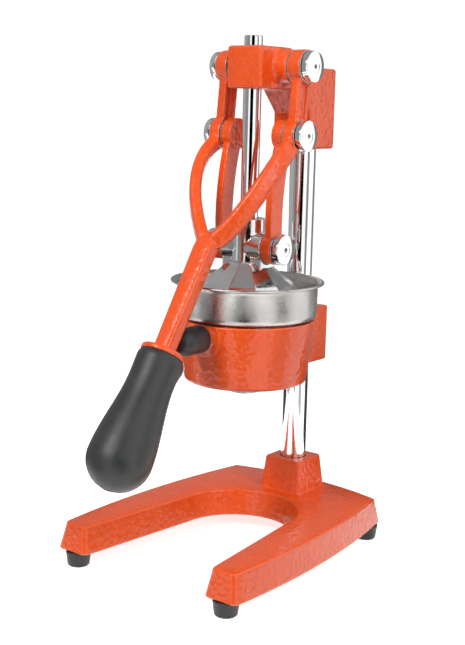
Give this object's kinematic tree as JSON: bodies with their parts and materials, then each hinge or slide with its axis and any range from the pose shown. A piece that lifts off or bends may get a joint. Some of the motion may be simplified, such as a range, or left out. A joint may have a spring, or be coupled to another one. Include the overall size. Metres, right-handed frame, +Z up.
{
  "type": "citrus press juicer",
  "caption": "Hand-lever citrus press: an enamelled cast stand holds a steel strainer bowl under a ridged cone that a forked lever drives down through links.",
  "frame": {"origin": "on the floor, under the middle of the whole press with its handle down", "axes": "+Z up, the handle hangs to -Y, the post is at +Y, and +X is the right-hand side seen from the handle"},
  "size_m": [0.1868, 0.2846, 0.421],
  "materials": {
    "orange_enamel": "bright orange enamel with a fine hammered surface",
    "polished_metal": "polished chrome",
    "steel_sheet": "brushed stainless sheet",
    "zinc_fasteners": "bright zinc plate",
    "black_rubber": "matt black rubber",
    "grip": "satin charcoal plastic"
  },
  "bodies": {
    "frame": {"base_casting": "orange_enamel", "bowl_holder": "orange_enamel", "bumper": "black_rubber", "foot_front_left": "black_rubber", "foot_front_right": "black_rubber", "foot_rear_left": "black_rubber", "foot_rear_right": "black_rubber", "foot_screw_front_left": "zinc_fasteners", "foot_screw_front_right": "zinc_fasteners", "foot_screw_rear_left": "zinc_fasteners", "foot_screw_rear_right": "zinc_fasteners", "funnel": "steel_sheet", "head_casting": "orange_enamel", "head_set_screw_lower": "zinc_fasteners", "head_set_screw_upper": "zinc_fasteners", "holder_set_screw_lower": "zinc_fasteners", "holder_set_screw_upper": "zinc_fasteners", "post": "polished_metal", "post_bolt": "zinc_fasteners", "post_washer": "zinc_fasteners", "strainer_bowl": "steel_sheet", "top_pin_left": "polished_metal", "top_pin_right": "polished_metal", "top_washer_inner_left": "zinc_fasteners", "top_washer_inner_right": "zinc_fasteners", "top_washer_outer_left": "zinc_fasteners", "top_washer_outer_right": "zinc_fasteners"},
    "lever": {"lever_casting": "orange_enamel", "grip": "grip", "mid_pin_left": "polished_metal", "mid_pin_right": "polished_metal", "mid_washer_inner_left": "zinc_fasteners", "mid_washer_inner_right": "zinc_fasteners", "mid_washer_outer_left": "zinc_fasteners", "mid_washer_outer_right": "zinc_fasteners"},
    "links": {"link_left": "orange_enamel", "link_right": "orange_enamel", "lower_pin_left": "polished_metal", "lower_pin_right": "polished_metal", "lower_washer_outer_left": "zinc_fasteners", "lower_washer_outer_right": "zinc_fasteners"},
    "ram": {"press_cone": "polished_metal", "guide_rod": "polished_metal", "cone_screw": "zinc_fasteners"}
  },
  "joints": [
    {"name": "lever_pivot", "type": "hinge", "parent": "frame", "child": "lever", "pos_m": [0, 0.05168, 0.3977], "axis": [-1, 0, 0], "range_deg": [0, 120]},
    {"name": "link_pivot", "type": "hinge", "parent": "ram", "child": "links", "pos_m": [0, 0.03468, 0.2549], "axis": [1, 0, 0], "range_deg": [0, 24.1]},
    {"name": "cone_slide", "type": "slide", "parent": "frame", "child": "ram", "axis": [0, 0, 1], "range_m": [0, 0.0887]}
  ],
  "couplings": [
    {"joint": "link_pivot", "follows": "lever_pivot", "ratio": 0.19963},
    {"joint": "cone_slide", "follows": "lever_pivot", "m_per_rad": 0.04227}
  ]
}
